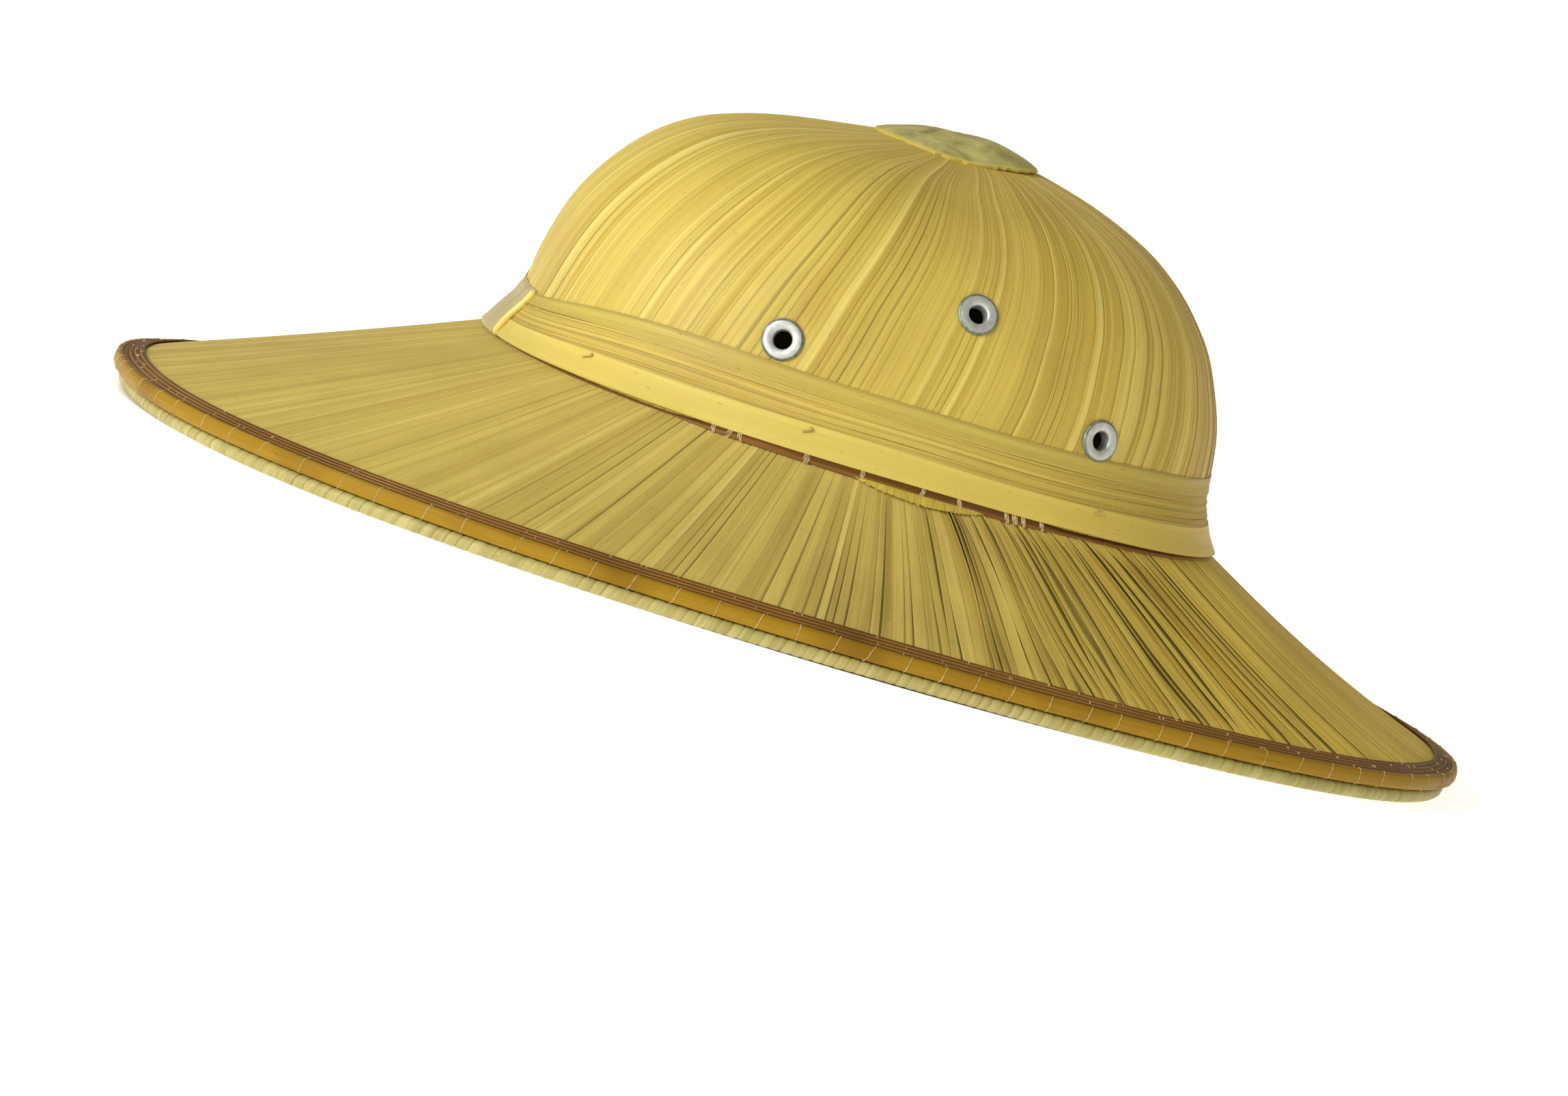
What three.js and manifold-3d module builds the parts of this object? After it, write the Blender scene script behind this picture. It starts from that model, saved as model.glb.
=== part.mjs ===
// A sun helmet of palm leaf on a plain wall, the right way up, standing on its rim.
// Millimetres, +Z up. The origin is on the ground under the middle of the rim.
// The front is towards -Y, and the wearer's left is +X.

import * as THREE from "three";
import { mergeVertices } from "three/addons/utils/BufferGeometryUtils.js";
import Module from "manifold-3d";

const wasm = await Module();
wasm.setup();

// Driving dimensions: the air between neighbouring pieces, the facets round the hat and the leaf wall.
const GAP = 0.3;
const AROUND = 56;
const WALL = 2;

// The rim is an oval flat on the ground, measured to the outside of its hoop.
const RIM = { halfWidth: 146, halfLength: 192, squareness: 2.27, middle: 0 };

// The crown's section along its length: a row for each height, from the mouth to the peak.
// half is the half length there, and middle says how far the section's middle is behind the rim's.
const CROWN_ROWS = [
  { height: 41.5, half: 103.1, middle: 4.8 },
  { height: 49, half: 99.6, middle: 4.8 },
  { height: 57, half: 96.6, middle: 5.2 },
  { height: 66, half: 95.5, middle: 5.5 },
  { height: 76, half: 93.7, middle: 5.5 },
  { height: 86, half: 90.2, middle: 5.2 },
  { height: 96, half: 84.9, middle: 5.3 },
  { height: 105, half: 77.3, middle: 4.9 },
  { height: 113, half: 66.4, middle: 4.2 },
  { height: 119, half: 52.2, middle: 4.6 },
  { height: 124.5, half: 29.2, middle: 8.4 },
  { height: 129.1, half: 0, middle: 9 },
];
const CROWN_SLIMNESS = 0.875;
const CROWN_SQUARENESS = { mouth: 2.35, peak: 2.15 };

// The brim hangs from the crown to the rim, nearly straight at the front and hollow at the back.
const BRIM_TOP = { atCrown: 43.4, atRim: 7.2, hollowFront: 0.4, hollowBack: 2.4 };
const BRIM_STEPS = 4;

// The edge, from the ground up: a wound welt, a half-round hoop outside, and split canes on the brim.
const WELT = { width: 4.1, height: 3.8, inset: 0.6, corner: 1.025 };
const HOOP = { depth: 2.2, bottom: 4.05, top: 8.35, chamfer: 0.75 };
const BRIM_INSET = HOOP.depth + GAP;
const RIM_CANES = { count: 4, width: 1.2, height: 1.1, crest: 0.7, pitch: 1.45 };

// The cane that lies in the corner between the brim and the crown.
const CORNER_CANE = { radius: 1.2, sides: 6 };

// The hat band is five strips, lowest first, each a little proud of the one above it.
const BAND_BOTTOM = 45.3;
const BAND_SEAM = 0.25;
const BAND_STRIPS = [
  { name: "band_lower_strip", height: 5.6, proud: 1.2, lip: 0.1 },
  { name: "band_pleat_1", height: 2.4, proud: 1, lip: 0.5 },
  { name: "band_pleat_2", height: 2.3, proud: 0.9, lip: 0.5 },
  { name: "band_pleat_3", height: 2.4, proud: 0.8, lip: 0.5 },
  { name: "band_upper_strip", height: 3.4, proud: 0.8, lip: 0.1 },
];
const BAND_HIDE = 0.3;

// A wrap closes the band at the front, where it draws the strips together.
const BAND_WRAP = { width: 18, height: 14.8, thickness: 0.8, bottom: 45.9, turn: -0.03, across: 4, up: 2 };
const BAND_DRAW = { depth: 0.27, spread: 0.42 };

// A leaf disc closes the peak.
const PATCH = { radius: 22.5, thickness: 1.1, swell: 1.2, steps: 3 };

// Three eyelets on each side, as places along the hat from the crown's middle and heights.
const EYELET = { flange: 5.65, hole: 2.8, barrel: 3.15, thickness: 0.85, edge: 0.28, throat: 0.42, tail: 0.8 };
const EYELET_SIDES = 12;
const DRILL_LENGTH = 12;
const EYELETS = [
  { name: "front", along: -45, height: 70.5 },
  { name: "top", along: 3, height: 91.2 },
  { name: "back", along: 45, height: 68.7 },
];

const LEAF = new THREE.MeshStandardMaterial({ color: 0xc8b45a, roughness: 0.6, metalness: 0 });
const PALE_LEAF = new THREE.MeshStandardMaterial({ color: 0xdccb72, roughness: 0.55, metalness: 0 });
const PATCH_LEAF = new THREE.MeshStandardMaterial({ color: 0xb4ac6a, roughness: 0.7, metalness: 0 });
const BROWN_CANE = new THREE.MeshStandardMaterial({ color: 0x7a5a30, roughness: 0.6, metalness: 0 });
const AMBER_CANE = new THREE.MeshStandardMaterial({ color: 0xb87f2a, roughness: 0.45, metalness: 0 });
const WOUND_LEAF = new THREE.MeshStandardMaterial({ color: 0xcdc078, roughness: 0.65, metalness: 0 });
const ALUMINIUM = new THREE.MeshStandardMaterial({ color: 0xc4c6c8, roughness: 0.35, metalness: 1 });

const helmet = new THREE.Group();

function add(name, geometry, material) {
  const mesh = new THREE.Mesh(geometry, material);
  mesh.name = name;
  helmet.add(mesh);
  return mesh;
}

// A value of the crown's rows at a height, on the straight line between two rows.
function crownValue(height, column) {
  const above = CROWN_ROWS.findIndex((row) => row.height > height);
  const last = CROWN_ROWS.length - 1;
  const upper = above < 0 ? last : Math.max(above, 1);
  const [a, b] = [CROWN_ROWS[upper - 1], CROWN_ROWS[upper]];
  return THREE.MathUtils.mapLinear(height, a.height, b.height, a[column], b[column]);
}

// The oval that the crown's outside makes at a height. Near the peak only its shape matters.
function crownOval(height) {
  const mouth = CROWN_ROWS[0].height;
  const peak = CROWN_ROWS.at(-1).height;
  const rise = (height - mouth) / (peak - mouth);
  const halfLength = crownValue(height, "half");
  return {
    halfLength,
    halfWidth: halfLength * CROWN_SLIMNESS,
    squareness: THREE.MathUtils.lerp(CROWN_SQUARENESS.mouth, CROWN_SQUARENESS.peak, rise),
    middle: crownValue(height, "middle"),
  };
}

// The point of an oval in the direction that is turned from the front towards the wearer's left,
// and out millimetres square to the oval beyond it.
function ovalPoint(oval, turn, out = 0) {
  const { halfWidth, halfLength, squareness } = oval;
  const [side, ahead] = [Math.sin(turn), -Math.cos(turn)];
  const across = (Math.abs(side) / halfWidth) ** squareness;
  const along = (Math.abs(ahead) / halfLength) ** squareness;
  const reach = (across + along) ** (-1 / squareness);
  const x = reach * side;
  const y = reach * ahead;
  const square = new THREE.Vector2(
    Math.sign(x) * (Math.abs(x) / halfWidth) ** (squareness - 1) / halfWidth,
    Math.sign(y) * (Math.abs(y) / halfLength) ** (squareness - 1) / halfLength,
  ).normalize();
  return new THREE.Vector2(x + out * square.x, oval.middle + y + out * square.y);
}

// Turns a section round the hat, then moves each of its points to the place that place() gives it.
// A section's first value may be negative, so it is turned round a circle far from the axis.
const FAR = 1000;
function turnSection(section, place) {
  const loop = [...section, section[0]].map(([out, up]) => new THREE.Vector2(FAR + out, up));
  const geometry = new THREE.LatheGeometry(loop, AROUND);
  geometry.rotateX(Math.PI / 2);
  const points = geometry.getAttribute("position");
  for (let i = 0; i < points.count; i++) {
    const [x, y, up] = [points.getX(i), points.getY(i), points.getZ(i)];
    const spot = place(Math.atan2(x, -y), Math.hypot(x, y) - FAR, up);
    points.setXYZ(i, spot.x, spot.y, spot.z);
  }
  geometry.computeVertexNormals();
  return geometry;
}

// The ways to lay a section round the hat: on the crown, along its band, on the brim and along the rim.
function onCrown(turn, out, up) {
  const spot = ovalPoint(crownOval(up), turn, out);
  return new THREE.Vector3(spot.x, spot.y, up);
}

function onBand(turn, out, up) {
  const drawn = 1 - BAND_DRAW.depth * Math.exp(-((turn / BAND_DRAW.spread) ** 2));
  return onCrown(turn, out, BAND_BOTTOM + (up - BAND_BOTTOM) * drawn);
}

function onRim(turn, out, up) {
  const spot = ovalPoint(RIM, turn, out);
  return new THREE.Vector3(spot.x, spot.y, up);
}

function brimTop(turn, share) {
  const { atCrown, atRim, hollowFront, hollowBack } = BRIM_TOP;
  const hollow = THREE.MathUtils.lerp(hollowFront, hollowBack, (1 - Math.cos(turn)) / 2);
  return THREE.MathUtils.lerp(atCrown, atRim, share) - hollow * 4 * share * (1 - share);
}

// The brim's inner edge leans with the crown's wall, so its underside starts a little further out.
function brimEdges(turn, up) {
  return {
    inner: ovalPoint(crownOval(BRIM_TOP.atCrown + Math.min(up, 0)), turn, GAP),
    outer: ovalPoint(RIM, turn, -BRIM_INSET),
  };
}

// Across the brim by shares of its width, from the crown (0) to the rim (1).
function acrossBrim(turn, share, up) {
  const { inner, outer } = brimEdges(turn, up);
  const spot = inner.lerp(outer, share);
  return new THREE.Vector3(spot.x, spot.y, brimTop(turn, share) + up);
}

// On top of the brim, out millimetres from its inner edge.
function onBrimCorner(turn, out, up) {
  const { inner, outer } = brimEdges(turn, up);
  return acrossBrim(turn, out / inner.distanceTo(outer), up);
}

// On top of the brim, inset millimetres from its outer edge.
function onBrimEdge(turn, inset, up) {
  const { inner, outer } = brimEdges(turn, up);
  return acrossBrim(turn, 1 - inset / inner.distanceTo(outer), up);
}

// A regular section with a side flat at its foot.
function roundSection({ radius, sides }, out, up) {
  return Array.from({ length: sides }, (_, i) => {
    const angle = (i + 0.5) * 2 * Math.PI / sides - Math.PI / 2;
    return [out + radius * Math.cos(angle), up + radius * Math.sin(angle)];
  });
}

// A closed geometry as a solid that can be cut, without the empty faces at a lathe's poles.
function solidFrom(geometry) {
  const bare = geometry.clone();
  bare.deleteAttribute("normal");
  bare.deleteAttribute("uv");
  const merged = mergeVertices(bare, 1e-4);
  const corners = merged.index.array;
  const kept = [];
  for (let i = 0; i < corners.length; i += 3) {
    const [a, b, c] = corners.slice(i, i + 3);
    if (a !== b && b !== c && c !== a) kept.push(a, b, c);
  }
  const vertProperties = merged.getAttribute("position").array;
  return new wasm.Manifold(new wasm.Mesh({ numProp: 3, vertProperties, triVerts: new Uint32Array(kept) }));
}

function geometryFrom(solid) {
  const { vertProperties, triVerts } = solid.getMesh();
  const geometry = new THREE.BufferGeometry();
  geometry.setAttribute("position", new THREE.BufferAttribute(vertProperties, 3));
  geometry.setIndex(new THREE.BufferAttribute(triVerts, 1));
  const flat = geometry.toNonIndexed();
  flat.computeVertexNormals();
  return flat;
}

// The place and the outward direction of an eyelet on the crown's wall.
function eyeletSeat({ along, height }, side) {
  const place = (y, z) => {
    const { halfWidth, halfLength, squareness, middle } = crownOval(z);
    const x = halfWidth * (1 - (Math.abs(y) / halfLength) ** squareness) ** (1 / squareness);
    return new THREE.Vector3(side * x, middle + y, z);
  };
  const step = 1;
  const length = place(along + step, height).sub(place(along - step, height));
  const rise = place(along, height + step).sub(place(along, height - step));
  return { spot: place(along, height), outward: length.cross(rise).multiplyScalar(side).normalize() };
}

function seatOn(object, seat) {
  object.position.copy(seat.spot);
  object.quaternion.setFromUnitVectors(new THREE.Vector3(0, 1, 0), seat.outward);
  object.updateMatrix();
  return object;
}

// The crown's inside and outside rows are turned round, then each is squeezed to its oval.
// The eyelets' holes are drilled last.
function crownShell(seats) {
  const outside = CROWN_ROWS.map((row) => new THREE.Vector2(row.half, row.height));
  const inside = outside.map((point, i) => {
    const below = outside[Math.max(i - 1, 0)];
    const above = outside[Math.min(i + 1, outside.length - 1)];
    const slope = above.clone().sub(below).normalize();
    return new THREE.Vector2(point.x - WALL * slope.y, point.y + WALL * slope.x);
  });
  inside[0].y = outside[0].y;
  inside[inside.length - 1].set(0, outside.at(-1).y - WALL);
  const geometry = new THREE.LatheGeometry([...inside.reverse(), ...outside], AROUND);
  geometry.rotateX(Math.PI / 2);
  const points = geometry.getAttribute("position");
  for (let i = 0; i < points.count; i++) {
    const [x, y, height] = [points.getX(i), points.getY(i), points.getZ(i)];
    const { squareness, middle } = crownOval(height);
    const unit = { halfWidth: CROWN_SLIMNESS, halfLength: 1, squareness, middle: 0 };
    const spot = ovalPoint(unit, Math.atan2(x, -y)).multiplyScalar(Math.hypot(x, y));
    points.setXYZ(i, spot.x, spot.y + middle, height);
  }
  let shell = solidFrom(geometry);
  const drillRadius = EYELET.barrel + GAP;
  const drill = new THREE.CylinderGeometry(drillRadius, drillRadius, DRILL_LENGTH, EYELET_SIDES);
  for (const seat of seats) {
    const mesh = seatOn(new THREE.Mesh(drill), seat);
    shell = shell.subtract(solidFrom(drill.clone().applyMatrix4(mesh.matrix)));
  }
  return geometryFrom(shell);
}

function eyelet() {
  const { flange, hole, barrel, thickness, edge, throat, tail } = EYELET;
  const face = GAP + thickness;
  const section = [
    [hole, -WALL - tail],
    [barrel, -WALL - tail],
    [barrel, GAP],
    [flange, GAP],
    [flange, GAP + edge],
    [flange - thickness, face],
    [hole + throat, face],
    [hole, face - throat],
  ];
  const loop = [...section, section[0]].map(([out, up]) => new THREE.Vector2(out, up));
  return new THREE.LatheGeometry(loop, EYELET_SIDES);
}

function brim() {
  const shares = Array.from({ length: BRIM_STEPS + 1 }, (_, i) => i / BRIM_STEPS);
  const under = shares.map((share) => [share, -WALL]);
  const top = shares.map((share) => [share, 0]).reverse();
  return turnSection([...under, ...top], acrossBrim);
}

function weltSection() {
  const { width, height, inset, corner } = WELT;
  const outer = -inset;
  const inner = outer - width;
  return [
    [inner + corner, 0],
    [outer - corner, 0],
    [outer, height / 2],
    [outer - corner, height],
    [inner + corner, height],
    [inner, height / 2],
  ];
}

function hoopSection() {
  const { depth, bottom, top, chamfer } = HOOP;
  return [
    [-depth, bottom],
    [-chamfer, bottom],
    [0, bottom + chamfer],
    [0, top - chamfer],
    [-chamfer, top],
    [-depth, top],
  ];
}

// A split cane's section is laid by its inset, which runs inwards, so it is listed the other way round.
function rimCaneSection(number) {
  const { width, height, crest, pitch } = RIM_CANES;
  const middle = width / 2 + number * pitch;
  return [
    [middle + width / 2, GAP],
    [middle - width / 2, GAP],
    [middle - crest / 2, GAP + height],
    [middle + crest / 2, GAP + height],
  ];
}

// A strip of the band leans against the crown, and its lower edge stands out over the strip below.
function bandSection(strip, bottom) {
  const top = bottom + strip.height;
  return [
    [BAND_HIDE + strip.lip, bottom],
    [strip.proud + strip.lip, bottom],
    [strip.proud, top],
    [BAND_HIDE, top],
  ];
}

// The wrap is a plate bent round the crown over the band.
function bandWrap() {
  const { width, height, thickness, bottom, turn, across, up } = BAND_WRAP;
  const proudest = Math.max(...BAND_STRIPS.map((strip) => strip.proud + strip.lip));
  const out = proudest + GAP + thickness / 2;
  const geometry = new THREE.BoxGeometry(width, thickness, height, across, 1, up);
  geometry.translate(0, 0, bottom + height / 2);
  const points = geometry.getAttribute("position");
  for (let i = 0; i < points.count; i++) {
    const [x, y, z] = [points.getX(i), points.getY(i), points.getZ(i)];
    const spot = onCrown(turn + x / crownValue(z, "half"), out - y, z);
    points.setXYZ(i, spot.x, spot.y, spot.z);
  }
  return geometry;
}

// The patch lies parallel to the crown's top, which falls straight from the peak to the row below.
function topPatch() {
  const { radius, thickness, swell, steps } = PATCH;
  const [below, peak] = CROWN_ROWS.slice(-2);
  const outs = Array.from({ length: steps + 1 }, (_, i) => radius * i / steps);
  const under = outs.map((out) => new THREE.Vector2(out, GAP));
  const top = outs.map((out) => new THREE.Vector2(out, GAP + thickness + swell * (1 - (out / radius) ** 2)));
  const geometry = new THREE.LatheGeometry([...under, ...top.reverse()], AROUND / 2);
  geometry.rotateX(Math.PI / 2);
  const points = geometry.getAttribute("position");
  for (let i = 0; i < points.count; i++) {
    const [x, y, up] = [points.getX(i), points.getY(i), points.getZ(i)];
    const edge = ovalPoint({ ...crownOval(below.height), middle: 0 }, Math.atan2(x, -y));
    const share = Math.hypot(x, y) / edge.length();
    const fallen = THREE.MathUtils.lerp(peak.height, below.height, share);
    points.setXYZ(i, x, y + THREE.MathUtils.lerp(peak.middle, below.middle, share), fallen + up);
  }
  return geometry;
}

const eyelets = [
  ["left", 1],
  ["right", -1],
].flatMap(([word, side]) => EYELETS.map((place) => ({
  name: `eyelet_${word}_${place.name}`,
  seat: eyeletSeat(place, side),
})));

add("crown_shell", crownShell(eyelets.map(({ seat }) => seat)), LEAF);
add("brim", brim(), LEAF);
add("top_patch", topPatch(), PATCH_LEAF);

for (const { name, seat } of eyelets) {
  seatOn(add(name, eyelet(), ALUMINIUM), seat);
}

const cornerSection = roundSection(CORNER_CANE, CORNER_CANE.radius, GAP + CORNER_CANE.radius);
add("junction_cane", turnSection(cornerSection, onBrimCorner), BROWN_CANE);

let bandHeight = BAND_BOTTOM;
for (const strip of BAND_STRIPS) {
  add(strip.name, turnSection(bandSection(strip, bandHeight), onBand), PALE_LEAF);
  bandHeight += strip.height + BAND_SEAM;
}
add("band_wrap", bandWrap(), PALE_LEAF);

for (let number = 0; number < RIM_CANES.count; number++) {
  add(`rim_cane_${number + 1}`, turnSection(rimCaneSection(number), onBrimEdge), BROWN_CANE);
}
add("rim_hoop", turnSection(hoopSection(), onRim), AMBER_CANE);
add("rim_welt", turnSection(weltSection(), onRim), WOUND_LEAF);

export default helmet;
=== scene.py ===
# %% [markdown]
# # A sun helmet of palm leaf
# The hat is narrow strips of dried leaf laid over a stiff form. The strips fan out from the peak
# of the crown and again from its foot across the brim. A pleated band, a bamboo hoop, split
# canes and a wound welt hold them down, and metal eyelets air the crown.
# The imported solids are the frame: they give every piece its place. The frame comes first.

import functools
import math

import bpy
import numpy as np
from mathutils import Matrix, Vector


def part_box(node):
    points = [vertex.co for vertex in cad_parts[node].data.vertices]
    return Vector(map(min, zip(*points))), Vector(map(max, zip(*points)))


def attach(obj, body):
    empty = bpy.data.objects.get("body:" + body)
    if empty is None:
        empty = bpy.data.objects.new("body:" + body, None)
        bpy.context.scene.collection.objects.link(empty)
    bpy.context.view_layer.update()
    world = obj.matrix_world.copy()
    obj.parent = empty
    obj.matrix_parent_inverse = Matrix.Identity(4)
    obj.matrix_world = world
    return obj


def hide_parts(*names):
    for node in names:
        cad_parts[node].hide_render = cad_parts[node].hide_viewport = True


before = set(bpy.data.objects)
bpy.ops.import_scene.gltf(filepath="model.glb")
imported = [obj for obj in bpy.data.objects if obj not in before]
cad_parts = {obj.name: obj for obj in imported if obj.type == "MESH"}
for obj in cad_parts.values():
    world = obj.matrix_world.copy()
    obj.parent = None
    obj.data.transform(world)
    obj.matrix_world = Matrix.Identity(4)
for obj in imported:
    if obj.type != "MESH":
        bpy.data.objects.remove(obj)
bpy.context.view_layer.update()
print("solids in the frame:", len(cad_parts))

# %% [markdown]
# ## Camera
# The photograph was taken from low on the wearer's left with a long lens, and the camera was
# turned clockwise, so the brim runs downhill. The place is worked out from the angle, the
# distance and the point it looks at, so each can be changed alone.

# %% Camera
MM = 0.001
PHOTO_WIDTH = 2296
VIEW = {"azimuth": 75.512, "elevation": 6.461, "roll": 17.795, "distance": 2167.6}
LOOK_AT = Vector((-10.33, 0.006, 7.98))
FOCAL_PIXELS = 11568.5
SENSOR_MM = 36.0


def camera_axes(azimuth, elevation, roll):
    """Right, up and back of a camera, where azimuth 0 looks along +Y."""
    a, e, r = (math.radians(value) for value in (azimuth, elevation, roll))
    back = Vector((math.sin(a) * math.cos(e), -math.cos(a) * math.cos(e), math.sin(e)))
    level = Vector((math.cos(a), math.sin(a), 0))
    above = back.cross(level)
    right = math.cos(r) * level + math.sin(r) * above
    return right, back.cross(right), back


right, above, back = camera_axes(VIEW["azimuth"], VIEW["elevation"], VIEW["roll"])
camera_data = bpy.data.cameras.new("camera")
camera = bpy.data.objects.new("camera", camera_data)
bpy.context.scene.collection.objects.link(camera)
turned = np.eye(4)
for column, axis in enumerate((right, above, back)):
    turned[:3, column] = axis
turned[:3, 3] = (LOOK_AT + VIEW["distance"] * back) * MM
camera.matrix_world = Matrix(turned.tolist())
camera_data.sensor_width = SENSOR_MM
camera_data.lens = FOCAL_PIXELS / PHOTO_WIDTH * SENSOR_MM
camera_data.clip_end = 100
bpy.context.scene.camera = camera
print("lens in mm:", round(camera_data.lens, 1), "camera height in mm:", round(turned[2, 3] / MM))

# %% [markdown]
# ## The shape of the hat
# The crown and the rim are ovals a little squarer than an ellipse. The crown's outline along its
# length is a short table from the mouth to the peak, in millimetres, and a smooth curve runs
# through its rows. Every strip is laid on these two surfaces by how far it is turned round the
# hat and how far it is from one edge to the other.

# %% Ovals, crown and brim
RIM = {"half_length": 192, "half_width": 146, "squareness": 2.27, "middle": 0}
CROWN_ROWS = [
    {"height": 41.5, "half": 103.1, "middle": 4.8},
    {"height": 49, "half": 99.6, "middle": 4.8},
    {"height": 57, "half": 96.6, "middle": 5.2},
    {"height": 66, "half": 95.5, "middle": 5.5},
    {"height": 76, "half": 93.7, "middle": 5.5},
    {"height": 86, "half": 90.2, "middle": 5.2},
    {"height": 96, "half": 84.9, "middle": 5.3},
    {"height": 105, "half": 77.3, "middle": 4.9},
    {"height": 113, "half": 66.4, "middle": 4.2},
    {"height": 119, "half": 52.2, "middle": 4.6},
    {"height": 124.5, "half": 29.2, "middle": 8.4},
    {"height": 129.1, "half": 0, "middle": 9},
]
SLIMNESS = 0.875
SQUARE_AT_MOUTH = 2.35
SQUARE_AT_PEAK = 2.15
BRIM_TOP = {"at_crown": 43.4, "at_rim": 7.2, "hollow_front": 0.4, "hollow_back": 2.4}
BRIM_INSET = 2.5
TAU = 2 * math.pi
MIDDLE_OF_HAT = np.array([0.0, 5.0, 0.0])


def oval(shape, turn, out=0.0):
    """Points of an oval by the turn from the front towards the wearer's left, out mm beyond it."""
    square = shape["squareness"]
    side, ahead = np.sin(turn), -np.cos(turn)
    across = (np.abs(side) / shape["half_width"]) ** square
    along = (np.abs(ahead) / shape["half_length"]) ** square
    reach = (across + along) ** (-1 / square)
    x, y = reach * side, reach * ahead
    facing_x = np.sign(x) * (np.abs(x) / shape["half_width"]) ** (square - 1) / shape["half_width"]
    facing_y = np.sign(y) * (np.abs(y) / shape["half_length"]) ** (square - 1) / shape["half_length"]
    size = np.hypot(facing_x, facing_y)
    return x + out * facing_x / size, shape["middle"] + y + out * facing_y / size


def smooth_profile(rows, samples=400):
    """A smooth curve through the crown's rows, sampled evenly from the mouth (0) to the peak (1)."""
    table = np.array([[row["height"], row["half"], row["middle"]] for row in rows], float)
    steps = np.hypot(np.diff(table[:, 0]), np.diff(table[:, 1]))
    knots = np.concatenate([[0], np.cumsum(steps)])
    slopes = np.gradient(table, knots, axis=0)
    at = np.linspace(0, knots[-1], samples)
    low = np.clip(np.searchsorted(knots, at, side="right") - 1, 0, len(knots) - 2)
    span = (knots[low + 1] - knots[low])[:, None]
    t = (at - knots[low])[:, None] / span
    start, end = table[low], table[low + 1]
    lead = (t ** 3 - 2 * t ** 2 + t) * span * slopes[low]
    trail = (t ** 3 - t ** 2) * span * slopes[low + 1]
    return at, (2 * t ** 3 - 3 * t ** 2 + 1) * start + (3 * t ** 2 - 2 * t ** 3) * end + lead + trail


PROFILE_AT, PROFILE = smooth_profile(CROWN_ROWS)
PROFILE_LENGTH = PROFILE_AT[-1]


def crown_row(share):
    """Height, half length and middle of the crown at a share of the way from mouth to peak."""
    return [np.interp(share * PROFILE_LENGTH, PROFILE_AT, PROFILE[:, column]) for column in range(3)]


def crown_share(height):
    """The share of the way from mouth to peak at a height."""
    return np.interp(height, PROFILE[:, 0], PROFILE_AT) / PROFILE_LENGTH


def crown_oval(share):
    height, half, middle = crown_row(share)
    rise = (height - CROWN_ROWS[0]["height"]) / (CROWN_ROWS[-1]["height"] - CROWN_ROWS[0]["height"])
    return height, {
        "half_length": np.maximum(half, 0.01),
        "half_width": np.maximum(half, 0.01) * SLIMNESS,
        "squareness": SQUARE_AT_MOUTH + (SQUARE_AT_PEAK - SQUARE_AT_MOUTH) * rise,
        "middle": middle,
    }


def crown_point(turn, share):
    height, shape = crown_oval(share)
    x, y = oval(shape, turn)
    return np.stack([x, y, height + 0 * x], axis=-1)


def brim_point(turn, share):
    _, mouth = crown_oval(crown_share(BRIM_TOP["at_crown"]))
    inner_x, inner_y = oval(mouth, turn)
    outer_x, outer_y = oval(RIM, turn, -BRIM_INSET)
    to_back = (1 - np.cos(turn)) / 2
    hollow = BRIM_TOP["hollow_front"] + (BRIM_TOP["hollow_back"] - BRIM_TOP["hollow_front"]) * to_back
    fall = (BRIM_TOP["at_rim"] - BRIM_TOP["at_crown"]) * share
    height = BRIM_TOP["at_crown"] + fall - hollow * 4 * share * (1 - share)
    x = inner_x + (outer_x - inner_x) * share
    y = inner_y + (outer_y - inner_y) * share
    return np.stack([x, y, height], axis=-1)


def lay_on(surface, turn, share, out):
    """Places on a surface, moved out mm square to it."""
    step = 1e-3
    inside = np.clip(share, step, 1 - step)
    round_it = surface(turn + step, inside) - surface(turn - step, inside)
    across = surface(turn, inside + step) - surface(turn, inside - step)
    spot = surface(turn, share)
    square = np.cross(round_it, across)
    square /= np.linalg.norm(square, axis=-1, keepdims=True)
    outwards = (square * (spot - MIDDLE_OF_HAT)).sum(axis=-1, keepdims=True)
    square *= np.where(outwards < 0, -1, 1)
    return spot + square * np.asarray(out)[..., None]


print("crown profile in mm:", round(PROFILE_LENGTH, 1))

# %% [markdown]
# ## Laying strips
# A helmet like this has some hundreds of strips, and all are laid in the same way. A grid of
# faces stands for one strip and an array copies it side by side. Each copy then has a number,
# and each of its points a place across and along the strip, which a short function turns into
# a place on the hat. The texture coordinates count the strips too, so a material can give each
# one a tone of its own.

# %% Strips from one grid
STRIDE = 2.0


def pick(piece):
    """Makes a piece the only one selected, and the one that operators work on."""
    bpy.ops.object.select_all(action="DESELECT")
    piece.select_set(True)
    bpy.context.view_layer.objects.active = piece


def settle(name):
    """Applies the place of the newest piece, and names it."""
    bpy.ops.object.transform_apply(location=True, rotation=True, scale=True)
    piece = bpy.context.object
    piece.name = piece.data.name = name
    return piece


def apply_modifier(piece, kind, **settings):
    """Gives a piece a modifier with these settings, and applies it."""
    modifier = piece.modifiers.new(kind, kind)
    for key, value in settings.items():
        setattr(modifier, key, value)
    pick(piece)
    bpy.ops.object.modifier_apply(modifier=modifier.name)


def strips(name, count, columns, rows):
    """count grids in a row, each one unit wide and long, with U counting from grid to grid."""
    bpy.ops.mesh.primitive_grid_add(
        x_subdivisions=columns, y_subdivisions=rows, size=1, location=(0.5, 0.5, 0))
    piece = settle(name)
    if count > 1:
        apply_modifier(piece, "ARRAY", count=count, use_relative_offset=False, use_constant_offset=True,
                       constant_offset_displace=(STRIDE, 0, 0), offset_u=1.0)
    return piece


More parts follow.
